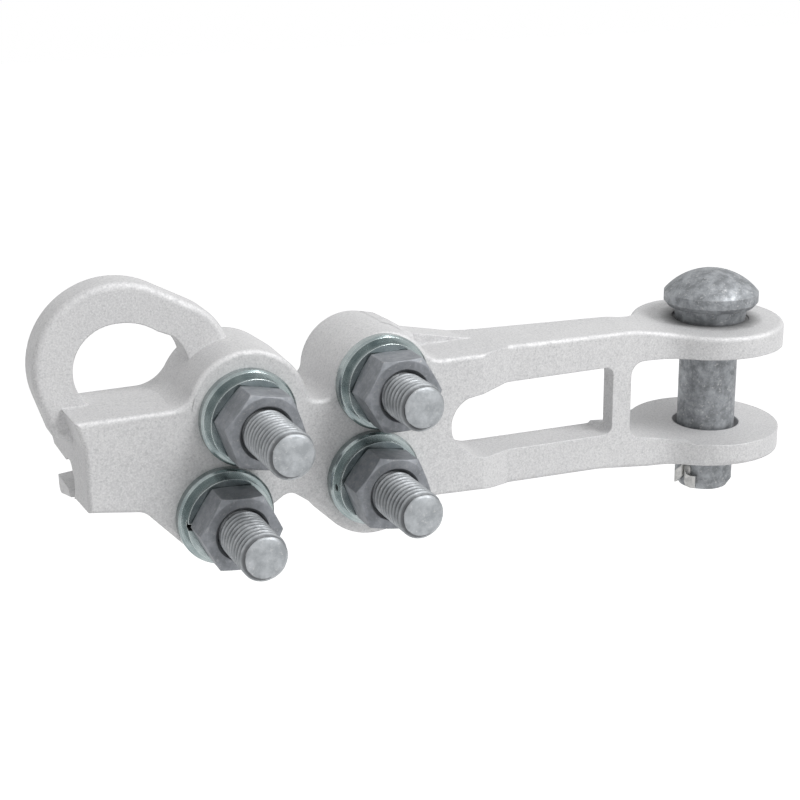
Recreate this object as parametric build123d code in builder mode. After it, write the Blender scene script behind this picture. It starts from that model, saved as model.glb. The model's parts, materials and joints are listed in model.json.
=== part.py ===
from build123d import *
from math import asin, cos, degrees, radians, sin
import os

# Bolted strain clamp. X runs from the pulling eye to the clevis, -Y is the nut side, +Z is the
# pin head side. The origin is on the axis of the clevis pin, midway between the two lugs.

# casting
parting_y = -1.0           # plane that the mould opened on
plate_front_y = -14.5      # face that the washers seat on
plate_rear_y = 10.0
arm_front_y = -11.0
arm_rear_y = 8.6           # rear of the arms inside the plate
arm_neck_y = 3.6           # rear of the arms if carried on to the pin axis
plate_draft = 2.0
arm_draft = 1.9
gap_draft = 1.3
window_flare = 20.0        # the window widens towards the rear by this angle
web_rear_y = -6.5
rim_fillet = 1.2
end_x = -180.3             # left end of the body
shelf_z = 17.9             # flat top edge beside the pulling eye
lower_lip_y = 17.6         # backs of the groove walls at the left end
upper_lip_y = 23.0
lip_end_x = -157.0

# pulling eye
eye_front_y = -3.0
eye_rear_y = 6.9
eye_fillet = 1.8

# clevis
pin_radius = 8.0
pin_hole_radius = 9.3
lug_radius = 21.0
lug_centre_x = -1.0
lug_inner_z = 11.1          # at the rear of the gap
lug_outer_z = 19.5         # at the rear of the lugs
seat_radius = 10.6         # flat spots under the pin's head and round its tail
seat_depth = 1.1
web_right_x = -31.3

# conductor groove
conductor_radius = 3.7
groove_y = 3.0             # depth of the conductor axis
groove_start = (-180.3, -1.4)
groove_slope = 5.5
groove_end_x = -83.0       # where the groove runs out into the window
mouth_length = 5.0
mouth_flare = 1.5
keeper_start_x = -163.0
keeper_end_x = -92.0
keeper_width = 8.8
keeper_front_gap = 0.6     # opening left between the keeper and the floor of its channel
keeper_rear_y = 13.0
slide_gap = 0.3            # clearance between the keeper and the channel walls

# U-bolts and their hardware
leg_radius = 5.75
leg_spacing = 24.6
pair_centres = [(-144.3, 1.9), (-107.6, 5.8)]
pair_leans = [16.0, 6.5]   # lean of each U-bolt towards the clevis
leg_hole_radius = 6.5
bosses = [(-140.4, 14.6, 15.8), (-148.6, -8.2, 12.2), (-105.2, 16.9, 13.7), (-108.2, -6.5, 15.9)]
leg_tips = [(-46.5, -45.0), (-40.0, -45.0)]
tip_chamfer = 1.0
bow_y = 12.0               # where the legs turn into the bow
saddle_gap = 0.3
saddle_length = 12.0
flat_washer_radius = 12.0
flat_washer_bore = 6.5
flat_washer_thick = 2.5
spring_washer_radius = 10.55
spring_washer_bore = 6.4
spring_washer_thick = 2.8
split_width = 1.6
nut_flats = 17.6
nut_height = 9.2
nut_bore = leg_radius + 0.05

# clevis pin and split pin
head_radius = 13.0
head_collar_radius = 9.6
head_collar_height = 3.8
head_rim_height = 4.0
head_height = 14.0
pin_tip_z = -30.2
pin_tip_chamfer = 1.2
split_hole_radius = 2.0
split_hole_z = -24.4
split_pin_angle = 196.0    # direction of the split pin legs about the pin axis
split_pin_roll = 18.0      # turn of the split pin about its own length
split_leg_radius = 1.8
split_eye_radius = 1.75
split_wire_radius = 0.85

groove_dx = cos(radians(groove_slope))
groove_dz = sin(radians(groove_slope))
keeper_mid_x = (keeper_start_x + keeper_end_x) / 2
keeper_length = (keeper_end_x - keeper_start_x) / groove_dx
channel_width = keeper_width + 2 * slide_gap


def groove_z(x):
    return groove_start[1] + (x - groove_start[0]) * groove_dz / groove_dx


def front_plane(y):
    return Plane(origin=(0, y, 0), x_dir=(1, 0, 0), z_dir=(0, -1, 0))


def groove_plane(y):
    return Plane(
        origin=(keeper_mid_x, y, groove_z(keeper_mid_x)),
        x_dir=(groove_dx, 0, groove_dz),
        z_dir=(0, -1, 0),
    )


def groove_section(x):
    return Plane(origin=(x, groove_y, groove_z(x)), x_dir=(0, 1, 0), z_dir=(groove_dx, 0, groove_dz))


def bow_plane(centre, lean):
    return Plane(
        origin=(centre[0], bow_y, centre[1]),
        x_dir=(sin(radians(lean)), 0, cos(radians(lean))),
        z_dir=(-cos(radians(lean)), 0, sin(radians(lean))),
    )


# outline of the window between the arms, as far to the right as right_x
def window_face(right_x):
    with BuildSketch() as outline:
        with BuildLine():
            left = ThreePointArc((-82.0, 9.6), (-86.5, 4.0), (-82.5, -3.4))
            low = ThreePointArc(left @ 1, (-79.6, -5.4), (-76.0, -6.2))
            low_right = (right_x, -6.2 - (right_x + 76.0) * 0.013)
            Polyline(low @ 1, low_right, (right_x, 11.4), (-70.0, 11.4), left @ 0)
        make_face()
    return outline.sketch


# leg positions (x, z) of each U-bolt, upper then lower: 1 and 2 at the left, 3 and 4 at the right
legs = []
for centre, lean in zip(pair_centres, pair_leans):
    reach_x = leg_spacing / 2 * sin(radians(lean))
    reach_z = leg_spacing / 2 * cos(radians(lean))
    legs.append((centre[0] + reach_x, centre[1] + reach_z))
    legs.append((centre[0] - reach_x, centre[1] - reach_z))

os.makedirs("parts", exist_ok=True)

with BuildPart() as plate:
    # plate outline with the four bosses, rounded where they run into it
    with BuildSketch(front_plane(parting_y)) as plate_outline:
        Polygon(
            (end_x - 0.1, -5.0),
            (-167.0, -7.0),
            (-156.4, -18.6),
            (-146.0, -16.0),
            (-136.0, -11.2),
            (-130.6, -7.6),
            (-121.0, -14.6),
            (-108.0, -14.5),
            (-69.0, -16.2),
            (-69.0, 21.6),
            (-107.0, 21.8),
            (-112.0, 15.6),
            (-132.0, 15.6),
            (-141.0, shelf_z + 0.2),
            (end_x - 2.2, shelf_z + 0.2),
            (end_x - 0.1, 11.0),
            align=None,
        )
        for boss_x, boss_z, boss_radius in bosses:
            with Locations((boss_x, boss_z)):
                Circle(boss_radius)
        fillet(plate_outline.vertices().sort_by_distance((-130.6, -7.6))[0], 2.8)
        fillet(plate_outline.vertices().sort_by_distance((-135.3, -10.8))[0], 3.2)
        fillet(plate_outline.vertices().sort_by_distance((-124.6, 15.6))[0], 2.6)
        fillet(plate_outline.vertices().sort_by_distance((-118.9, 15.6))[0], 2.6)
        fillet(plate_outline.vertices().sort_by_distance((-93.0, 21.7))[0], 5.0)
        fillet(plate_outline.vertices().sort_by_distance((-94.5, -15.5))[0], 6.0)
        fillet(plate_outline.vertices().sort_by_distance((-167.0, -7.0))[0], 4.0)
    extrude(amount=parting_y - plate_front_y, taper=plate_draft)
    extrude(plate_outline.sketch, amount=parting_y - plate_rear_y, taper=plate_draft)
    fillet(plate.faces().sort_by(Axis.Y)[0].edges(), rim_fillet)
    fillet(plate.faces().sort_by(Axis.Y)[-1].edges(), rim_fillet)

    # ridge behind the upper right boss, running down to the arm
    with BuildSketch(front_plane(parting_y)):
        Polygon((-104.0, 18.0), (-72.0, 18.0), (-72.0, 21.6), (-77.0, 22.1), (-91.5, 25.1), (-98.0, 29.3), align=None)
    extrude(amount=parting_y - plate_rear_y + 1.0, taper=plate_draft)

with BuildPart() as eye:
    with BuildSketch(front_plane((eye_front_y + eye_rear_y) / 2)):
        with BuildLine():
            rim = ThreePointArc((-187.4, 20.0), (-182.5, 40.6), (-158.0, 44.3))
            edge_left = Line(rim @ 0 - (rim % 0) * 9.0, rim @ 0)
            edge_low = Line((-176.0, 6.0), edge_left @ 0)
            slope = Line(rim @ 1, rim @ 1 + (rim % 1) * 10.8)
            shoulder = TangentArc(slope @ 1, (-140.6, 28.0), tangent=slope % 1)
            Polyline(shoulder @ 1, (-140.6, 6.0), (-176.0, 6.0))
        make_face()
    extrude(amount=(eye_rear_y - eye_front_y) / 2, both=True)
    fillet(eye.edges().filter_by(Axis.Y, reverse=True), eye_fillet)
    with BuildSketch(front_plane(eye_front_y)):
        with BuildLine():
            hole_left = ThreePointArc((-175.6, shelf_z), (-178.6, 29.0), (-168.0, 36.9))
            hole_top = ThreePointArc(hole_left @ 1, (-163.0, 36.3), (-158.5, 34.0))
            hole_slope = Line(hole_top @ 1, (-154.5, 32.2))
            hole_right = ThreePointArc(hole_slope @ 1, (-151.2, 26.5), (-152.5, shelf_z))
            Polyline(hole_right @ 1, (-152.5, 8.0), (-175.6, 8.0), hole_left @ 0)
        make_face()
    extrude(amount=eye_front_y - eye_rear_y, mode=Mode.SUBTRACT)

with BuildPart() as arms:
    # side outline of the arms and lugs at their rear, drafted towards the front
    with BuildSketch(front_plane(lug_radius + 1)) as arm_outline:
        Polygon(
            (-100.0, -15.9),
            (-69.0, -17.2),
            (-41.0, -17.8),
            (-25.0, -lug_outer_z),
            (lug_radius + 2, -lug_outer_z),
            (lug_radius + 2, lug_outer_z),
            (-16.0, lug_outer_z),
            (-31.0, 21.9),
            (-69.0, 22.5),
            (-100.0, 22.5),
            align=None,
        )
        fillet(arm_outline.vertices().sort_by_distance((-16.0, lug_outer_z))[0], 20)
        fillet(arm_outline.vertices().sort_by_distance((-31.0, 21.9))[0], 20)
        fillet(arm_outline.vertices().sort_by_distance((-25.0, -lug_outer_z))[0], 20)
    extrude(amount=2 * lug_radius + 2, taper=arm_draft)
    # plan outline: arms that narrow towards the neck and widen into round lugs
    with BuildSketch(Plane.XY.offset(-30)) as arm_plan:
        with Locations((lug_centre_x, 0)):
            Circle(lug_radius)
        Polygon(
            (-100.0, arm_front_y),
            (0, arm_front_y),
            (0, arm_neck_y),
            (-100.0, arm_rear_y),
            align=None,
        )
        fillet(arm_plan.vertices().filter_by_position(Axis.X, -24, -5), 14.0)
    extrude(amount=60, mode=Mode.INTERSECT)
    outer_walls = arms.faces().filter_by(lambda face: abs(face.normal_at().Z) < 0.001)
    outer_walls -= outer_walls.filter_by(GeomType.PLANE).filter_by(lambda face: abs(face.normal_at().X) > 0.5)
    fillet(outer_walls.edges().filter_by(lambda edge: abs(edge.tangent_at(0.5).Z) < 0.5), rim_fillet)
    # gap between the lugs, opening towards the front
    with BuildSketch(front_plane(lug_radius + 1)) as gap_outline:
        Polygon(
            (web_right_x, -8.2),
            (-14.0, -lug_inner_z),
            (lug_radius + 5, -lug_inner_z),
            (lug_radius + 5, lug_inner_z),
            (-14.0, lug_inner_z),
            (web_right_x, 11.4),
            align=None,
        )
        fillet(gap_outline.vertices().group_by(Axis.X)[0], 3.0)
    extrude(amount=2 * lug_radius + 2, taper=-gap_draft, mode=Mode.SUBTRACT)

with BuildPart() as body:
    add(plate.part)
    add(arms.part)

    # groove walls standing back at the left end
    with BuildSketch(Plane(origin=(end_x, 0, 0), x_dir=(0, 1, 0), z_dir=(1, 0, 0))) as wall_profile:
        Polygon(
            (parting_y, -5.4),
            (lower_lip_y, -9.9),
            (lower_lip_y, 0.4),
            (upper_lip_y, 5.0),
            (upper_lip_y, 7.5),
            (eye_rear_y - 1.2, shelf_z),
            (parting_y, shelf_z),
            align=None,
        )
        fillet(wall_profile.vertices().sort_by_distance((lower_lip_y, -9.9))[0], 2.0)
        fillet(wall_profile.vertices().sort_by_distance((upper_lip_y, 7.5))[0], 1.2)
    extrude(amount=lip_end_x - end_x)
    add(eye.part)

    # step from the plate back to the arms
    with BuildSketch(Plane.XY.offset(-40)):
        Polygon(
            (-78.0, plate_front_y - 1),
            (-78.0, plate_front_y),
            (-69.0, arm_front_y),
            (-60.0, arm_front_y),
            (-60.0, plate_front_y - 1),
            align=None,
        )
    extrude(amount=80, mode=Mode.SUBTRACT)

    # window between the arms, with a slight draft to the front
    with BuildSketch(front_plane(parting_y)) as window_outline:
        add(window_face(-38.0))
        fillet(window_outline.vertices().group_by(Axis.X)[-1], 2.0)
    extrude(amount=parting_y - plate_front_y + 1, taper=-arm_draft, mode=Mode.SUBTRACT)
    # behind the parting plane it flares, and the web beside the clevis gap is thin
    with BuildSketch(front_plane(parting_y)):
        add(window_face(web_right_x + 2))
    extrude(amount=parting_y - plate_rear_y - 1, taper=-window_flare, mode=Mode.SUBTRACT)
    with BuildSketch(front_plane(web_rear_y)):
        Polygon((-44.0, -5.4), (web_right_x + 2, -6.8), (web_right_x + 2, 11.2), (-44.0, 10.0), align=None)
    extrude(amount=web_rear_y - parting_y, mode=Mode.SUBTRACT)

    # flat seats for the head of the clevis pin above and the split pin's side below
    for seat_z in (lug_outer_z - seat_depth + 5, seat_depth - 5 - lug_outer_z):
        with Locations((0, 0, seat_z)):
            Cylinder(seat_radius, 10, mode=Mode.SUBTRACT)

    # bores for the clevis pin and the U-bolt legs
    Cylinder(pin_hole_radius, 60, mode=Mode.SUBTRACT)
    with BuildSketch(front_plane(upper_lip_y + 2)):
        for leg_x, leg_z in legs:
            with Locations((leg_x, leg_z)):
                Circle(leg_hole_radius)
    extrude(amount=upper_lip_y + 3 - plate_front_y, mode=Mode.SUBTRACT)

    # conductor groove, open to the rear, with a flared mouth
    groove_length = (groove_end_x - end_x + 5) / groove_dx
    with BuildSketch(groove_section(end_x - 5)):
        Circle(conductor_radius)
        with Locations((15, 0)):
            Rectangle(30, 2 * conductor_radius)
    extrude(amount=groove_length, mode=Mode.SUBTRACT)
    with BuildSketch(groove_section(end_x - 0.5)):
        Circle(conductor_radius + mouth_flare)
    with BuildSketch(groove_section(end_x + mouth_length)):
        Circle(conductor_radius)
    loft(mode=Mode.SUBTRACT)
    # channel that the keeper slides in
    with BuildSketch(groove_plane(groove_y)):
        Rectangle(keeper_length + 2 * slide_gap, channel_width)
    extrude(amount=-30, mode=Mode.SUBTRACT)

body.part.label = "clamp body"
export_step(body.part, "parts/clamp_body.step")

with BuildPart() as keeper:
    # bar lying in the channel, with the second half of the groove in its front
    with BuildSketch(groove_plane(groove_y + keeper_front_gap)) as keeper_outline:
        Rectangle(keeper_length, keeper_width)
        fillet(keeper_outline.vertices(), 2.5)
    extrude(amount=groove_y + keeper_front_gap - keeper_rear_y)
    chamfer(keeper.faces().sort_by(Axis.Y)[-1].edges(), 1.0)
    # rounded saddles under the two bows
    for centre, lean in zip(pair_centres, pair_leans):
        saddle_radius = leg_spacing / 2 - leg_radius - saddle_gap
        with BuildSketch(bow_plane(centre, lean)):
            Circle(saddle_radius)
            with Locations((0, -saddle_radius)):
                Rectangle(2 * saddle_radius, 2 * saddle_radius, mode=Mode.SUBTRACT)
        extrude(amount=saddle_length / 2, both=True)
    with BuildSketch(groove_section(keeper_start_x - 5)):
        Circle(conductor_radius)
    extrude(amount=keeper_length + 10, mode=Mode.SUBTRACT)

keeper.part.label = "keeper"
export_step(keeper.part, "parts/keeper.step")

for side_name, centre, lean, tips in zip(("left", "right"), pair_centres, pair_leans, leg_tips):
    half_spacing = leg_spacing / 2
    upper_tip_y, lower_tip_y = tips
    with BuildPart() as u_bolt:
        with BuildLine(bow_plane(centre, lean)) as u_path:
            Line((half_spacing, upper_tip_y - bow_y), (half_spacing, 0))
            bow = ThreePointArc((half_spacing, 0), (0, half_spacing), (-half_spacing, 0))
            Line(bow @ 1, (-half_spacing, lower_tip_y - bow_y))
        with BuildSketch(Plane(origin=u_path.line @ 0, z_dir=(0, 1, 0))):
            Circle(leg_radius)
        sweep()
        chamfer(u_bolt.edges().filter_by(GeomType.CIRCLE).filter_by(lambda edge: edge.center().Y < plate_front_y), tip_chamfer)
    u_bolt.part.label = f"U-bolt {side_name}"
    export_step(u_bolt.part, f"parts/u_bolt_{side_name}.step")

leg_names = ("upper_left", "lower_left", "upper_right", "lower_right")
# turn of each spring washer's split and of each nut about its leg, as left after tightening
split_turns = (158, 205, 170, 182)
nut_turns = (-11, -3.5, 0, -10)
flat_front_y = plate_front_y - flat_washer_thick
spring_front_y = flat_front_y - spring_washer_thick

for leg_name, (leg_x, leg_z), split_turn, nut_turn in zip(leg_names, legs, split_turns, nut_turns):
    with BuildPart() as flat_washer:
        with BuildSketch(Plane(origin=(leg_x, plate_front_y, leg_z), x_dir=(1, 0, 0), z_dir=(0, -1, 0))):
            Circle(flat_washer_radius)
            Circle(flat_washer_bore, mode=Mode.SUBTRACT)
        extrude(amount=flat_washer_thick)
        chamfer(flat_washer.faces().sort_by(Axis.Y)[0].outer_wire().edges(), 0.5)
    flat_washer.part.label = f"flat washer {leg_name}"
    export_step(flat_washer.part, f"parts/flat_washer_{leg_name}.step")

    with BuildPart() as spring_washer:
        with BuildSketch(Plane(origin=(leg_x, flat_front_y, leg_z), x_dir=(1, 0, 0), z_dir=(0, -1, 0))):
            Circle(spring_washer_radius)
            Circle(spring_washer_bore, mode=Mode.SUBTRACT)
        extrude(amount=spring_washer_thick)
        # slanted split
        split_face = Plane(origin=(leg_x, flat_front_y, leg_z), x_dir=(1, 0, 0), z_dir=(0, -1, 0))
        split_face = split_face.rotated((0, 0, split_turn))
        split_side = Plane(
            origin=split_face.from_local_coords((spring_washer_bore - 1, 0, 0)),
            x_dir=split_face.y_dir,
            z_dir=split_face.x_dir,
        )
        with BuildSketch(split_side):
            Polygon(
                (-split_width, -0.5),
                (0, -0.5),
                (split_width, spring_washer_thick + 0.5),
                (0, spring_washer_thick + 0.5),
                align=None,
            )
        extrude(amount=spring_washer_radius, mode=Mode.SUBTRACT)
    spring_washer.part.label = f"spring washer {leg_name}"
    export_step(spring_washer.part, f"parts/spring_washer_{leg_name}.step")

    with BuildPart() as nut:
        nut_plane = Plane(origin=(leg_x, spring_front_y, leg_z), x_dir=(1, 0, 0), z_dir=(0, -1, 0))
        with BuildSketch(nut_plane):
            RegularPolygon(nut_flats / 2, 6, major_radius=False, rotation=nut_turn)
        extrude(amount=nut_height)
        # corners turned down to a cone at both ends
        with BuildSketch(Plane(origin=(leg_x, spring_front_y, leg_z), x_dir=(1, 0, 0), z_dir=(0, 0, 1))):
            with BuildLine():
                Polyline(
                    (0, 0),
                    (nut_flats / 2, 0),
                    (nut_flats / 2 + 1.8, -1.0),
                    (nut_flats / 2 + 1.8, 1.0 - nut_height),
                    (nut_flats / 2, -nut_height),
                    (0, -nut_height),
                    close=True,
                )
            make_face()
        revolve(axis=Axis((leg_x, 0, leg_z), (0, 1, 0)), mode=Mode.INTERSECT)
        with BuildSketch(nut_plane):
            Circle(nut_bore)
        extrude(amount=nut_height, mode=Mode.SUBTRACT)
    nut.part.label = f"nut {leg_name}"
    export_step(nut.part, f"parts/nut_{leg_name}.step")

with BuildPart() as clevis_pin:
    head_seat_z = lug_outer_z - seat_depth
    rim_low_z = head_seat_z + head_collar_height
    rim_high_z = rim_low_z + head_rim_height
    dome_height = head_seat_z + head_height - rim_high_z
    dome_radius = (head_radius**2 + dome_height**2) / (2 * dome_height)
    dome_angle = degrees(asin(head_radius / dome_radius))
    with BuildSketch(Plane.XZ):
        with BuildLine():
            Polyline(
                (0, head_seat_z + head_height),
                (0, pin_tip_z),
                (pin_radius - pin_tip_chamfer, pin_tip_z),
                (pin_radius, pin_tip_z + pin_tip_chamfer * 1.6),
                (pin_radius, head_seat_z),
                (head_collar_radius, head_seat_z),
                (head_collar_radius + 0.6, rim_low_z),
                (head_radius - 1.2, rim_low_z),
                (head_radius, rim_low_z + 1.4),
                (head_radius, rim_high_z),
            )
            CenterArc((0, head_seat_z + head_height - dome_radius), dome_radius, 90 - dome_angle, dome_angle)
        make_face()
    revolve(axis=Axis.Z)
    split_hole_plane = Plane(
        origin=(0, 0, split_hole_z),
        x_dir=(0, 0, 1),
        z_dir=(cos(radians(split_pin_angle)), sin(radians(split_pin_angle)), 0),
    )
    with BuildSketch(split_hole_plane):
        Circle(split_hole_radius)
    extrude(amount=pin_radius + 1, both=True, mode=Mode.SUBTRACT)

clevis_pin.part.label = "clevis pin"
export_step(clevis_pin.part, "parts/clevis_pin.step")

# local x of this plane points along the legs and local y across them
split_plane = Plane(
    origin=(0, 0, split_hole_z),
    x_dir=(cos(radians(split_pin_angle)), sin(radians(split_pin_angle)), 0),
    z_dir=(
        -sin(radians(split_pin_roll)) * sin(radians(split_pin_angle)),
        sin(radians(split_pin_roll)) * cos(radians(split_pin_angle)),
        cos(radians(split_pin_roll)),
    ),
)
with BuildPart() as split_pin:
    for side in (-1, 1):
        with BuildLine(split_plane):
            straight = Line((-pin_radius - 1.0, 0), (pin_radius + 0.4, 0))
            bend = JernArc(straight @ 1, (1, 0), 3.5, side * 48)
            Line(bend @ 1, bend @ 1 + (bend % 1) * 2.0)
        with BuildSketch(
            Plane(
                origin=split_plane.from_local_coords((-pin_radius - 1.0, 0, 0)),
                x_dir=split_plane.y_dir,
                z_dir=split_plane.x_dir,
            )
        ):
            Circle(split_leg_radius)
            with Locations((-side * (split_leg_radius - 0.05), 0)):
                Rectangle(2 * split_leg_radius, 2 * split_leg_radius, mode=Mode.SUBTRACT)
        sweep()
    with Locations(split_plane * Location((-pin_radius - 2.6, 0, 0))):
        Torus(split_eye_radius, split_wire_radius)

split_pin.part.label = "split pin"
export_step(split_pin.part, "parts/split_pin.step")
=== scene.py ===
import json
from math import atan2, cos, pi, radians, sin, tan

import bpy
from mathutils import Matrix, Vector


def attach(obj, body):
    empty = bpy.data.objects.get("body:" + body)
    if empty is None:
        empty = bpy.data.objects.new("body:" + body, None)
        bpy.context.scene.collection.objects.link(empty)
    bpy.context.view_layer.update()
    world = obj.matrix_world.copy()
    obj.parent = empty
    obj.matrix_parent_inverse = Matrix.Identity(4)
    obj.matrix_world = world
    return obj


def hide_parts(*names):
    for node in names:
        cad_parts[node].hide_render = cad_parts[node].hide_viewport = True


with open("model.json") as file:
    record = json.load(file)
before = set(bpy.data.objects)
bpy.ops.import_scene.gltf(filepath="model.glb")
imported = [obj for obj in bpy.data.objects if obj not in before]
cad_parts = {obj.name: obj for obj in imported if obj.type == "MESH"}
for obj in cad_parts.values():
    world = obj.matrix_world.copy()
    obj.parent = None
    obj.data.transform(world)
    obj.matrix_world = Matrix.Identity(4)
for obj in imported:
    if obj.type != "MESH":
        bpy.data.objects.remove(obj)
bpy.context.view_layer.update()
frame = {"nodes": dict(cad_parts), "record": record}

MM = 0.001
SLOTS = {s["node"]: s["material_slot"] for s in frame["record"]["subparts"]}

# U-bolts and nuts, in millimetres as in the solids
LEG_RADIUS = 5.75
THREAD_PITCH = 1.75
THREAD_DEPTH = 0.95
THREAD_CREST = 0.14        # share of a turn that the flat crest takes
THREAD_FLANK = 0.33        # share of a turn that each flank takes
THREAD_END_Y = -8.0        # where the thread ends inside the boss
THREAD_RUN_OUT = 3.0
TIP_CHAMFER = 1.1
TIP_SLOPE = 1.1
BOW_Y = 12.0
NUT_FLATS = 17.6
NUT_HEIGHT = 9.2
NUT_BORE = 5.8
NUT_COUNTERSINK = 0.75
NUT_COUNTERSINK_DEPTH = 1.0
NUT_CONE_START = NUT_FLATS / 2 * 0.985
NUT_CONE_ANGLE = 30
NUT_EDGE = 0.25
NUT_BACK_Y = -19.8
# legs of each U-bolt, upper then lower: place (x, z) and y of the tip
LEGS = {
    "left": (((-140.910, 13.724), -46.5), ((-147.690, -9.924), -45.0)),
    "right": (((-106.208, 18.021), -40.0), ((-108.992, -6.421), -45.0)),
}
# turn of each nut about its leg, in degrees
NUT_TURNS = {"upper_left": -11, "lower_left": -3.5, "upper_right": 0, "lower_right": -10}

# plate of the casting round the upper left boss
PLATE_FRONT_Y = -14.5
PLATE_REAR_Y = 10.0
PARTING_Y = -1.0
PLATE_DRAFT = 2.0
RIM_FILLET = 1.2
SHELF_Z = 18.1
BOSS = (-140.4, 14.6)
BOSS_RADIUS = 15.8
FILLET_FRONT_RADIUS = 5.0
FILLET_GROWTH = 0.17       # gain of the fillet's radius per mm to the rear

# ridge behind the upper right boss: its top line from where it leaves the boss
RIGHT_BOSS = (-105.2, 16.9)
RIGHT_BOSS_RADIUS = 13.7
RIDGE = ((-101.8, 30.17), (-98.0, 29.3), (-91.6, 25.165))
RIDGE_FRONT_Y = PARTING_Y - 4.0
RIDGE_REAR_Y = 9.0
RIDGE_LIFT = 0.04          # how far the skin lies over the solid

# lugs of the clevis: painted shade round the pin's head, in place of its contact shadow
HEAD_SHADE_RADII = (11.0, 16.0)
HEAD_SHADE_WANDER = 2.5
LUG_TOP_Z = (15.0, 16.0)

# split pin through the tail of the clevis pin
SPLIT_ANGLE = 196.0        # direction of its legs about the pin's axis
SPLIT_Z = -24.4
SPLIT_LEG_RADIUS = 1.8
SPLIT_GAP = 0.05           # half the gap between the legs
SPLIT_START = -9.0         # where the legs start behind the tail, measured along them
SPLIT_BEND_START = 7.6
SPLIT_BEND_RADIUS = 2.05
SPLIT_BEND_ANGLE = 80
# legs of the split pin: side, angle round the tail where it ends, how far it drops
SPLIT_LEGS = ((-1, 15, 2.5), (1, 27, 2.9))
EYE_PLACE = -10.6          # middle of the eye, measured along the legs
EYE_RADIUS = 1.75
EYE_WIRE = 0.85

# camera fitted to the photograph: turn to the right, tilt down and roll in radians, place in mm
CAMERA_TURN = 0.4166
CAMERA_TILT = 0.2968
CAMERA_ROLL = -0.0117
CAMERA_PLACE = (-251.37, -356.78, 129.76)
CAMERA_LENS = 71.22
CAMERA_SHIFT = (-0.0056, -0.0152)


# materials

class Graph:
    """A material's node tree, with short calls for the nodes used here."""

    def __init__(self, name):
        self.material = bpy.data.materials.new(name)
        self.material.use_nodes = True
        self.tree = self.material.node_tree
        self.shader = self.tree.nodes["Principled BSDF"]
        self.place = self.add("ShaderNodeTexCoord").outputs["Object"]

    def add(self, kind, **values):
        node = self.tree.nodes.new(kind)
        for key, value in values.items():
            setattr(node, key, value)
        return node

    def link(self, source, target):
        self.tree.links.new(source, target)

    def noise(self, scale, detail=3.0, roughness=0.55, place=None):
        node = self.add("ShaderNodeTexNoise")
        node.inputs["Scale"].default_value = scale
        node.inputs["Detail"].default_value = detail
        node.inputs["Roughness"].default_value = roughness
        self.link(place or self.place, node.inputs["Vector"])
        return node.outputs["Fac"]

    def span(self, value, low, high, out_low, out_high):
        node = self.add("ShaderNodeMapRange")
        node.clamp = True
        self.link(value, node.inputs["Value"])
        limits = {"From Min": low, "From Max": high, "To Min": out_low, "To Max": out_high}
        for key, number in limits.items():
            node.inputs[key].default_value = number
        return node.outputs["Result"]

    def math(self, operation, first, second):
        node = self.add("ShaderNodeMath", operation=operation)
        for socket, value in zip(node.inputs, (first, second)):
            if isinstance(value, (int, float)):
                socket.default_value = value
            else:
                self.link(value, socket)
        return node.outputs[0]

    def mix(self, factor, first, second):
        node = self.add("ShaderNodeMix", data_type="RGBA")
        if isinstance(factor, (int, float)):
            node.inputs["Factor"].default_value = factor
        else:
            self.link(factor, node.inputs["Factor"])
        colour_in = [s for s in node.inputs if s.type == "RGBA"]
        for socket, value in zip(colour_in, (first, second)):
            if isinstance(value, tuple):
                socket.default_value = (*value, 1.0)
            else:
                self.link(value, socket)
        return [s for s in node.outputs if s.type == "RGBA"][0]

    def soft_edges(self, radius):
        """Normal rounded over the edges, and a mask that is 1 on a convex or concave edge."""
        bevel = self.add("ShaderNodeBevel", samples=6)
        bevel.inputs["Radius"].default_value = radius
        geometry = self.add("ShaderNodeNewGeometry")
        dot = self.add("ShaderNodeVectorMath", operation="DOT_PRODUCT")
        self.link(bevel.outputs["Normal"], dot.inputs[0])
        self.link(geometry.outputs["Normal"], dot.inputs[1])
        return bevel.outputs["Normal"], self.span(dot.outputs["Value"], 0.995, 0.80, 0.0, 1.0)

    def bump(self, height, distance, normal=None):
        node = self.add("ShaderNodeBump")
        node.inputs["Distance"].default_value = distance
        self.link(height, node.inputs["Height"])
        if normal is not None:
            self.link(normal, node.inputs["Normal"])
        return node.outputs["Normal"]

    def finish(self, colour, roughness, normal, metallic):
        self.link(colour, self.shader.inputs["Base Color"])
        self.link(roughness, self.shader.inputs["Roughness"])
        self.link(normal, self.shader.inputs["Normal"])
        self.shader.inputs["Metallic"].default_value = metallic
        return self.material


def head_contact_shade(g):
    """Mask of painted shade on the upper lug, the pin head's contact shadow, densest close to the head."""
    place = g.add("ShaderNodeSeparateXYZ")
    g.link(g.place, place.inputs["Vector"])
    x, y, z = place.outputs["X"], place.outputs["Y"], place.outputs["Z"]
    reach = g.math("POWER", g.math("ADD", g.math("MULTIPLY", x, x), g.math("MULTIPLY", y, y)), 0.5)
    reach = g.math("ADD", reach, g.math("MULTIPLY", g.noise(300, 3), HEAD_SHADE_WANDER * MM))
    inner, outer = (radius * MM for radius in HEAD_SHADE_RADII)
    low, high = (level * MM for level in LUG_TOP_Z)
    return g.math("MULTIPLY", g.span(reach, inner, outer, 0.9, 0.0), g.span(z, low, high, 0.0, 1.0))


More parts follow.
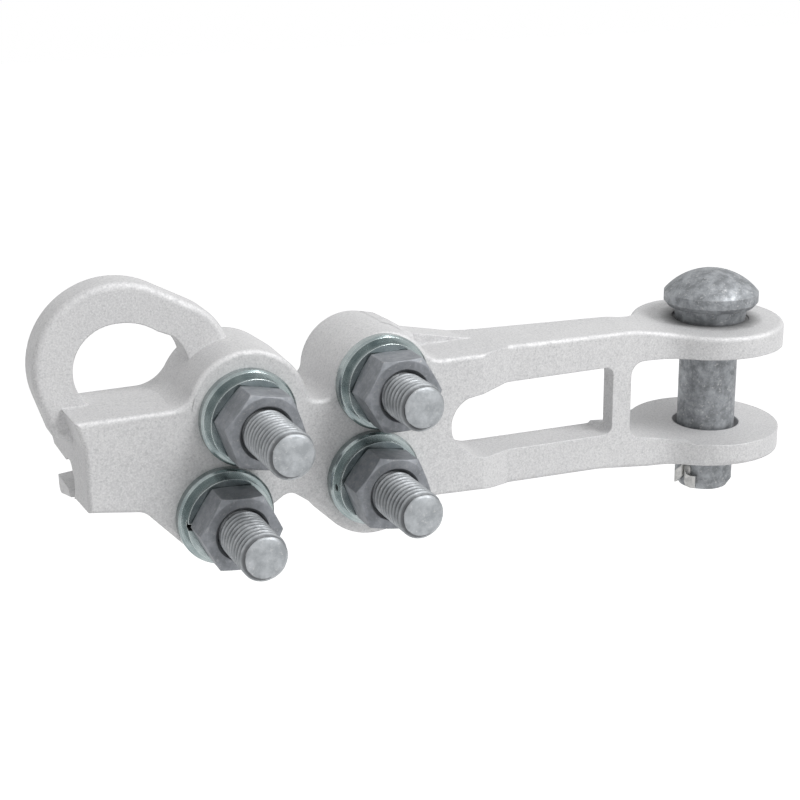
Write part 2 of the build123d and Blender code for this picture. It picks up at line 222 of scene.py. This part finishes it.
def cast_aluminium(name, tone):
    """Shot-blasted casting: even pale grey, a fine glittering grain, edges a little brighter as partly wear
    and partly a painted highlight, and painted shade round the pin's head.
    """
    g = Graph(name)
    normal, edge = g.soft_edges(0.5 * MM)
    clouds = g.span(g.noise(45, 4), 0.35, 0.65, 0.0, 1.0)
    colour = g.mix(clouds, tuple(tone * c for c in (0.93, 0.928, 0.94)), (tone, tone * 0.997, tone * 1.005))
    grain = g.noise(2300, 2, 0.7)
    colour = g.mix(g.span(grain, 0.42, 0.62, 0.0, 0.6), colour, (tone * 1.2, tone * 1.2, tone * 1.2))
    pits = g.span(g.noise(1700, 2), 0.54, 0.68, 0.0, 0.5)
    colour = g.mix(pits, colour, (tone * 0.74, tone * 0.75, tone * 0.76))
    # edges brighter: partly wear, partly a painted highlight
    colour = g.mix(g.math("MULTIPLY", edge, 0.05), colour, (tone * 1.22, tone * 1.22, tone * 1.22))
    # painted shade: a dark ring round the pin's head stands in for its contact shadow on the lug
    colour = g.mix(head_contact_shade(g), colour, (tone * 0.12, tone * 0.12, tone * 0.12))
    roughness = g.span(g.noise(700, 3), 0.3, 0.7, 0.60, 0.76)
    relief = g.math("ADD", g.noise(1900, 3, 0.7), g.math("MULTIPLY", g.noise(260, 3), 0.7))
    return g.finish(colour, roughness, g.bump(relief, 0.08 * MM, normal), 0.55)


def galvanised(
    name, dark, pale, blue=1.05, gloss=0.42, edge_tone=None, speck=1.6, metallic=0.88, root_shade=0.0
):
    """Hot-dip zinc: dull grey with cloudy patches and a few pale specks."""
    g = Graph(name)
    normal, edge = g.soft_edges(0.35 * MM)
    clouds = g.span(g.noise(330, 8, 0.7), 0.40, 0.62, 0.0, 1.0)
    colour = g.mix(clouds, (dark * 0.95, dark, dark * blue), (pale * 0.96, pale, pale * blue))
    specks = g.span(g.noise(1100, 4, 0.75), 0.57, 0.70, 0.0, 0.7)
    colour = g.mix(specks, colour, (pale * speck, pale * speck, pale * speck))
    # edges brighter: partly wear on the zinc, partly a painted highlight
    edge_wear_and_highlight = edge_tone or pale * 1.6
    colour = g.mix(g.math("MULTIPLY", edge, 0.55), colour, (edge_wear_and_highlight, edge_wear_and_highlight, edge_wear_and_highlight))
    if root_shade:
        # painted shade: the roots of the thread are darkened where shade falls in them
        depth = g.add("ShaderNodeAttribute", attribute_name="thread_depth").outputs["Fac"]
        colour = g.mix(g.span(depth, 0.0, 0.6, 0.0, root_shade), colour, (0.07, 0.073, 0.077))
    roughness = g.span(g.noise(500, 3), 0.3, 0.7, gloss - 0.08, gloss + 0.12)
    relief = g.math("ADD", g.noise(900, 3, 0.6), g.noise(200, 2))
    return g.finish(colour, roughness, g.bump(relief, 0.05 * MM, normal), metallic)


def plated_zinc(name):
    """Bright zinc plating with a faint green-blue cast."""
    g = Graph(name)
    normal, edge = g.soft_edges(0.25 * MM)
    clouds = g.span(g.noise(180, 4), 0.35, 0.65, 0.0, 1.0)
    colour = g.mix(clouds, (0.22, 0.265, 0.27), (0.36, 0.405, 0.405))
    # painted highlight: the edges are brightened
    colour = g.mix(g.math("MULTIPLY", edge, 0.75), colour, (0.72, 0.76, 0.76))
    roughness = g.span(g.noise(600, 3), 0.3, 0.7, 0.16, 0.28)
    return g.finish(colour, roughness, g.bump(g.noise(700, 3), 0.02 * MM, normal), 0.9)


def stainless_wire(name):
    """Drawn wire: even grey with a soft shine, and a painted highlight on its cut edges."""
    g = Graph(name)
    normal, edge = g.soft_edges(0.15 * MM)
    colour = g.mix(g.span(g.noise(900, 3), 0.35, 0.65, 0.0, 1.0), (0.36, 0.36, 0.355), (0.52, 0.52, 0.51))
    # painted highlight: the edges are brightened
    colour = g.mix(g.math("MULTIPLY", edge, 0.4), colour, (0.7, 0.7, 0.69))
    roughness = g.span(g.noise(1500, 2), 0.3, 0.7, 0.28, 0.42)
    return g.finish(colour, roughness, g.bump(g.noise(2500, 2), 0.01 * MM, normal), 0.9)


MATERIALS = {
    "cast_body": cast_aluminium("cast_body", 0.66),
    "cast_keeper": cast_aluminium("cast_keeper", 0.62),
    "galvanised_bolt": galvanised(
        "galvanised_bolt", 0.33, 0.45, blue=1.04, gloss=0.5, edge_tone=0.58, speck=1.3, root_shade=0.8
    ),
    "galvanised_nut": galvanised(
        "galvanised_nut", 0.245, 0.325, blue=1.07, gloss=0.62, speck=1.4, metallic=0.85
    ),
    "plated_washer": plated_zinc("plated_washer"),
    "galvanised_pin": galvanised("galvanised_pin", 0.23, 0.41, blue=1.05, gloss=0.55, metallic=0.65),
    "stainless_wire": stainless_wire("stainless_wire"),
}


# pieces

def finish_piece(name, verts, faces, slot, node, body, smooth_angle=35):
    """Piece of the scene that rides a body, in place of a node of the solids where one is named."""
    mesh = bpy.data.meshes.new(name)
    mesh.from_pydata(verts, [], faces)
    mesh.update()
    mesh.materials.append(MATERIALS[slot])
    piece = bpy.data.objects.new(name, mesh)
    bpy.context.scene.collection.objects.link(piece)
    mesh.shade_smooth()
    mesh.set_sharp_from_angle(angle=radians(smooth_angle))
    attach(piece, body)
    if node:
        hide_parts(node)
    return piece


def thread_cut(turn):
    """Depth of the thread, 0 on the crest to 1 in the root, at a fraction of a turn."""
    turn = turn % 1.0
    if turn < THREAD_CREST:
        return 0.0
    if turn < THREAD_CREST + THREAD_FLANK:
        return (turn - THREAD_CREST) / THREAD_FLANK
    if turn < 1.0 - THREAD_FLANK:
        return 1.0
    return (1.0 - turn) / THREAD_FLANK


def leg_surface(along, turn, tip_y):
    """Radius and depth of thread of a leg at a distance from its tip and a fraction of a turn about it."""
    run_out = min(1.0, max(0.0, (THREAD_END_Y - tip_y - along) / THREAD_RUN_OUT))
    depth = thread_cut(along / THREAD_PITCH + turn) * run_out
    chamfered = LEG_RADIUS - TIP_CHAMFER + along * TIP_SLOPE
    if LEG_RADIUS - THREAD_DEPTH * depth > chamfered:
        return chamfered, 0.0
    return LEG_RADIUS - THREAD_DEPTH * depth, depth


def u_bolt(side):
    """Both threaded legs and the bow, as one tube whose radius follows the thread."""
    (upper_place, upper_tip), (lower_place, lower_tip) = LEGS[side]
    upper, lower = (Vector((x, 0, z)) for x, z in (upper_place, lower_place))
    middle = (upper + lower) / 2
    half = (upper - lower).length / 2
    across = (upper - lower).normalized()
    back = Vector((0, 1, 0))
    normal = across.cross(back)
    around = 64
    step = THREAD_PITCH / 12

    def stops(tip_y):
        return [i * step for i in range(int((THREAD_END_Y - tip_y) / step) + 1)] + [BOW_Y - tip_y]

    # rings as (centre, outward axis in the plane of the bow, distance from the tip, y of the tip, mirrored)
    rings = [(upper + back * (upper_tip + s), across, s, upper_tip, 1) for s in stops(upper_tip)]
    for i in range(1, 32):
        bend = pi * i / 32
        outward = across * cos(bend) + back * sin(bend)
        rings.append((middle + outward * half + back * BOW_Y, outward, BOW_Y - upper_tip, upper_tip, 1))
    for s in reversed(stops(lower_tip)):
        rings.append((lower + back * (lower_tip + s), across * -1, s, lower_tip, -1))
    verts = []
    depths = []
    for centre, outward, along, tip_y, hand in rings:
        for k in range(around):
            turn = k / around
            angle = 2 * pi * turn
            radius, depth = leg_surface(along, turn if hand > 0 else 0.5 - turn, tip_y)
            depths.append(depth)
            verts.append((centre + (outward * cos(angle) + normal * sin(angle)) * radius) * MM)
    faces = []
    for i in range(len(rings) - 1):
        for k in range(around):
            n = (k + 1) % around
            faces.append((i * around + k, i * around + n, (i + 1) * around + n, (i + 1) * around + k))
    for ring in (0, len(rings) - 1):
        verts.append(rings[ring][0] * MM)
        depths.append(0.0)
        hub = len(verts) - 1
        for k in range(around):
            n = (k + 1) % around
            edge = (ring * around + n, ring * around + k)
            faces.append((hub, *(edge if ring == 0 else reversed(edge))))
    piece = finish_piece(f"u_bolt_{side}_threaded", verts, faces, "galvanised_bolt",
                         f"u_bolt_{side}", "keeper_and_u_bolts", 50)
    piece.data.attributes.new("thread_depth", "FLOAT", "POINT").data.foreach_set("value", depths)


def nut(place, centre):
    """Hexagon nut with corners turned to a cone and countersunk bore ends."""
    per_side = 16
    around = 6 * per_side
    turn = radians(NUT_TURNS[place])
    rim = NUT_BORE + NUT_COUNTERSINK
    x, z = centre

    def outer(k):
        return NUT_FLATS / 2 / cos(pi / 3 * ((k % per_side) / per_side - 0.5))

    def cone_drop(radius):
        return max(0.0, (radius - NUT_CONE_START) * tan(radians(NUT_CONE_ANGLE)))

    # loops round the nut, from the bore's rear end over the outside to its front end
    loops = [
        lambda k: (NUT_BORE, NUT_COUNTERSINK_DEPTH),
        lambda k: (rim, 0.0),
        lambda k: (NUT_CONE_START, 0.0),
        lambda k: (outer(k), cone_drop(outer(k))),
        lambda k: (outer(k), NUT_HEIGHT - cone_drop(outer(k))),
        lambda k: (NUT_CONE_START, NUT_HEIGHT),
        lambda k: (rim, NUT_HEIGHT),
        lambda k: (NUT_BORE, NUT_HEIGHT - NUT_COUNTERSINK_DEPTH),
    ]
    verts = []
    for loop in loops:
        for k in range(around):
            radius, height = loop(k)
            angle = 2 * pi * k / around + turn
            spot = Vector((x + radius * cos(angle), NUT_BACK_Y - height, z + radius * sin(angle)))
            verts.append(spot * MM)
    faces = []
    for i in range(len(loops)):
        j = (i + 1) % len(loops)
        for k in range(around):
            n = (k + 1) % around
            faces.append((i * around + k, j * around + k, j * around + n, i * around + n))
    node = f"nut_{place}"
    piece = finish_piece(f"{node}_turned", verts, faces, "galvanised_nut", node, node, 25)
    bevel = piece.modifiers.new("soft_edges", "BEVEL")
    bevel.width = NUT_EDGE * MM
    bevel.segments = 2
    bevel.limit_method = "ANGLE"
    bevel.angle_limit = radians(25)


def rim_offset(y):
    """How far the plate's outline stands in from its size at the parting plane."""
    depth = max(0.0, RIM_FILLET - min(y - PLATE_FRONT_Y, PLATE_REAR_Y - y))
    return abs(y - PARTING_Y) * tan(radians(PLATE_DRAFT)) + RIM_FILLET - (RIM_FILLET**2 - depth**2) ** 0.5


def boss_fillet():
    """Concave fillet between the flat top beside the eye and the boss, wider to the rear."""
    segments = 14
    front_steps = (0.0, 0.1, 0.3, 0.6, 1.2)
    stops = [PLATE_FRONT_Y + d for d in front_steps] + [PLATE_REAR_Y - d for d in reversed(front_steps)]
    verts = []
    for y in stops:
        inset = rim_offset(y)
        radius = FILLET_FRONT_RADIUS + FILLET_GROWTH * (y - PLATE_FRONT_Y) + inset
        top = SHELF_Z - inset
        boss = BOSS_RADIUS - inset
        centre_z = top + radius
        centre_x = BOSS[0] - ((boss + radius) ** 2 - (centre_z - BOSS[1]) ** 2) ** 0.5
        last = atan2(BOSS[1] - centre_z, BOSS[0] - centre_x)
        for i in range(segments + 1):
            angle = -pi / 2 + (last + pi / 2) * i / segments
            verts.append(Vector((centre_x + radius * cos(angle), y, centre_z + radius * sin(angle))) * MM)
        corner_x = BOSS[0] - (boss**2 - (top - BOSS[1]) ** 2) ** 0.5
        verts.append(Vector((corner_x, y, top)) * MM)
    ring = segments + 2
    faces = []
    for row in range(len(stops) - 1):
        for i in range(segments):
            k = row * ring + i
            faces.append((k, k + 1, k + ring + 1, k + ring))
    for i in range(segments):
        faces.append((ring - 1, i + 1, i))
        k = (len(stops) - 1) * ring
        faces.append((k + ring - 1, k + i, k + i + 1))
    finish_piece("boss_fillet", verts, faces, "cast_body", None, "casting", 50)


def ridge_top(x):
    part = 0 if x < RIDGE[1][0] else 1
    (x0, z0), (x1, z1) = RIDGE[part:part + 2]
    return z0 + (z1 - z0) * (x - x0) / (x1 - x0)


def ridge_blend():
    """Skin that leads the round of the upper right boss into the ridge behind it."""
    columns, rows = 28, 22
    left_x, right_x = RIDGE[0][0], RIDGE[-1][0]
    verts = []
    for row in range(rows + 1):
        y = RIDGE_FRONT_Y + (RIDGE_REAR_Y - RIDGE_FRONT_Y) * row / rows
        rise = min(1.0, (y - RIDGE_FRONT_Y) / (PARTING_Y - RIDGE_FRONT_Y))
        rise = rise * rise * (3 - 2 * rise)
        inset = abs(y - PARTING_Y) * tan(radians(PLATE_DRAFT))
        for column in range(columns + 1):
            x = left_x + (right_x - left_x) * column / columns
            round_part = max(0.0, (RIGHT_BOSS_RADIUS - inset) ** 2 - (x - RIGHT_BOSS[0]) ** 2) ** 0.5
            boss = RIGHT_BOSS[1] + round_part
            top = boss + max(0.0, ridge_top(x) - inset - boss) * rise
            verts.append(Vector((x, y, top + RIDGE_LIFT)) * MM)
    faces = []
    for row in range(rows):
        for column in range(columns):
            k = row * (columns + 1) + column
            faces.append((k, k + 1, k + columns + 2, k + columns + 1))
    finish_piece("ridge_blend", verts, faces, "cast_body", None, "casting", 50)


def split_leg_path(last):
    """Line of a leg's flat side, as distances along the legs and to the side."""
    path = [(SPLIT_START, SPLIT_GAP), (SPLIT_BEND_START, SPLIT_GAP)]
    for step in range(1, 13):
        angle = radians(SPLIT_BEND_ANGLE) * step / 12
        along = SPLIT_BEND_START + SPLIT_BEND_RADIUS * sin(angle)
        path.append((along, SPLIT_GAP + SPLIT_BEND_RADIUS * (1 - cos(angle))))
    along, aside = path[-1]
    first = atan2(aside, along)
    reach = (along**2 + aside**2) ** 0.5
    for step in range(1, 9):
        angle = first + (radians(last) - first) * step / 8
        path.append((reach * cos(angle), reach * sin(angle)))
    return path


def split_leg(out, side, hand, last, drop):
    """Half-round leg that leaves the hole, bends to one side and drops along the tail."""
    count = 13
    path = split_leg_path(last)
    verts = []
    for k, (along, aside) in enumerate(path):
        before, after = path[max(k - 1, 0)], path[min(k + 1, len(path) - 1)]
        ahead = Vector((after[0] - before[0], after[1] - before[1])).normalized()
        share = min(1.0, max(0, k - 1) / 16)
        z = SPLIT_Z - drop * share * share * (3 - 2 * share)
        for j in range(count):
            angle = radians(-90 + 180 * j / (count - 1))
            bulge, height = SPLIT_LEG_RADIUS * cos(angle), SPLIT_LEG_RADIUS * sin(angle)
            spot = out * (along - ahead.y * bulge) + side * (hand * (aside + ahead.x * bulge))
            verts.append((spot + Vector((0, 0, z + height))) * MM)
    faces = []
    for k in range(len(path) - 1):
        low, high = k * count, (k + 1) * count
        for j in range(count):
            n = (j + 1) % count
            faces.append((low + j, low + n, high + n, high + j))
    faces.append(tuple(range(count - 1, -1, -1)))
    faces.append(tuple(range(len(verts) - count, len(verts))))
    return verts, faces if hand > 0 else [face[::-1] for face in faces]


def split_eye(out, side):
    """Ring of wire that joins the legs behind the tail."""
    around, across = 28, 12
    verts = []
    faces = []
    for i in range(around):
        angle = 2 * pi * i / around
        spoke = out * cos(angle) + side * sin(angle)
        for j in range(across):
            tilt = 2 * pi * j / across
            spot = out * EYE_PLACE + spoke * (EYE_RADIUS + EYE_WIRE * cos(tilt))
            verts.append((spot + Vector((0, 0, SPLIT_Z + EYE_WIRE * sin(tilt)))) * MM)
            k, m, n = i * across, (i + 1) % around * across, (j + 1) % across
            faces.append((k + j, m + j, m + n, k + n))
    return verts, faces


def split_pin():
    """Split pin through the tail of the clevis pin, its two legs bent round the tail."""
    out = Vector((cos(radians(SPLIT_ANGLE)), sin(radians(SPLIT_ANGLE)), 0))
    side = Vector((-out.y, out.x, 0))
    parts = [split_leg(out, side, *leg) for leg in SPLIT_LEGS] + [split_eye(out, side)]
    verts, faces = [], []
    for part_verts, part_faces in parts:
        start = len(verts)
        faces += [tuple(start + k for k in face) for face in part_faces]
        verts += part_verts
    finish_piece("bent_split_pin", verts, faces, "stainless_wire", "split_pin", "pin")


boss_fillet()
ridge_blend()
split_pin()
for side, ((upper, _), (lower, _)) in LEGS.items():
    u_bolt(side)
    nut(f"upper_{side}", upper)
    nut(f"lower_{side}", lower)

for name, node in frame["nodes"].items():
    node.data.materials.clear()
    node.data.materials.append(MATERIALS[SLOTS[name]])


# studio

def floor_material():
    g = Graph("floor_paper")
    colour = g.mix(g.noise(30, 2), (0.86, 0.86, 0.86), (0.89, 0.89, 0.89))
    # white where it is seen, directly or in a reflection, while it keeps the object's shadow
    path = g.add("ShaderNodeLightPath")
    seen = g.math("MAXIMUM", path.outputs["Is Glossy Ray"], path.outputs["Is Transmission Ray"])
    seen = g.math("MAXIMUM", seen, path.outputs["Is Camera Ray"])
    g.link(g.math("MULTIPLY", seen, 0.75), g.shader.inputs["Emission Strength"])
    g.shader.inputs["Emission Color"].default_value = (1, 1, 1, 1)
    roughness = g.span(g.noise(300, 2), 0.3, 0.7, 0.85, 0.95)
    return g.finish(colour, roughness, g.bump(g.noise(400, 2), 0.1 * MM), 0.0)


def studio_floor(level):
    mesh = bpy.data.meshes.new("studio_floor")
    reach = 6.0
    corners = [(x * reach, y * reach, level) for x, y in ((-1, -1), (1, -1), (1, 1), (-1, 1))]
    mesh.from_pydata(corners, [], [(0, 1, 2, 3)])
    mesh.materials.append(floor_material())
    floor = bpy.data.objects.new("studio_floor", mesh)
    bpy.context.scene.collection.objects.link(floor)


def soft_light(name, place, aim, size, power):
    data = bpy.data.lights.new(name, "AREA")
    data.shape = "RECTANGLE"
    data.size, data.size_y = size
    data.energy = power
    lamp = bpy.data.objects.new(name, data)
    lamp.location = place
    lamp.rotation_mode = "QUATERNION"
    lamp.rotation_quaternion = (Vector(aim) - Vector(place)).to_track_quat("-Z", "Y")
    bpy.context.scene.collection.objects.link(lamp)


def studio_world(ambient):
    """White backdrop at strength 1 where it is seen, and soft light of the ambient strength elsewhere."""
    world = bpy.data.worlds.new("studio")
    world.use_nodes = True
    bpy.context.scene.world = world
    tree = world.node_tree
    background = tree.nodes["Background"]
    path = tree.nodes.new("ShaderNodeLightPath")
    shown = tree.nodes.new("ShaderNodeMath")
    shown.operation = "MAXIMUM"
    tree.links.new(path.outputs["Is Camera Ray"], shown.inputs[0])
    clear = tree.nodes.new("ShaderNodeMath")
    clear.operation = "MAXIMUM"
    tree.links.new(path.outputs["Is Glossy Ray"], clear.inputs[0])
    tree.links.new(path.outputs["Is Transmission Ray"], clear.inputs[1])
    tree.links.new(clear.outputs[0], shown.inputs[1])
    strength = tree.nodes.new("ShaderNodeMapRange")
    strength.inputs["To Min"].default_value = ambient
    strength.inputs["To Max"].default_value = 1.0
    tree.links.new(shown.outputs[0], strength.inputs["Value"])
    tree.links.new(strength.outputs[0], background.inputs["Strength"])
    background.inputs["Color"].default_value = (1, 1, 1, 1)


def camera():
    """Camera of the photograph, from its turn, tilt, roll and place."""
    data = bpy.data.cameras.new("camera")
    data.sensor_width = 36
    data.lens = CAMERA_LENS
    data.shift_x, data.shift_y = CAMERA_SHIFT
    data.clip_start, data.clip_end = 0.01, 50
    turn, tilt, roll = CAMERA_TURN, CAMERA_TILT, CAMERA_ROLL
    ahead = Vector((sin(turn) * cos(tilt), cos(turn) * cos(tilt), -sin(tilt)))
    right = Vector((cos(turn), -sin(turn), 0))
    up = right.cross(ahead)
    rolled_right = right * cos(roll) + up * sin(roll)
    rolled_up = up * cos(roll) - right * sin(roll)
    place = Matrix((rolled_right, rolled_up, -ahead)).transposed().to_4x4()
    place.translation = Vector(CAMERA_PLACE) * MM
    seen = bpy.data.objects.new("camera", data)
    seen.matrix_world = place
    bpy.context.scene.collection.objects.link(seen)
    bpy.context.scene.camera = seen


studio_floor(level=-0.45)
studio_world(ambient=0.28)
soft_light("key", place=(0.56, -0.8, 1.08), aim=(-0.08, 0, 0), size=(0.7, 0.7), power=16)
camera()
bpy.context.scene.view_settings.view_transform = "Standard"
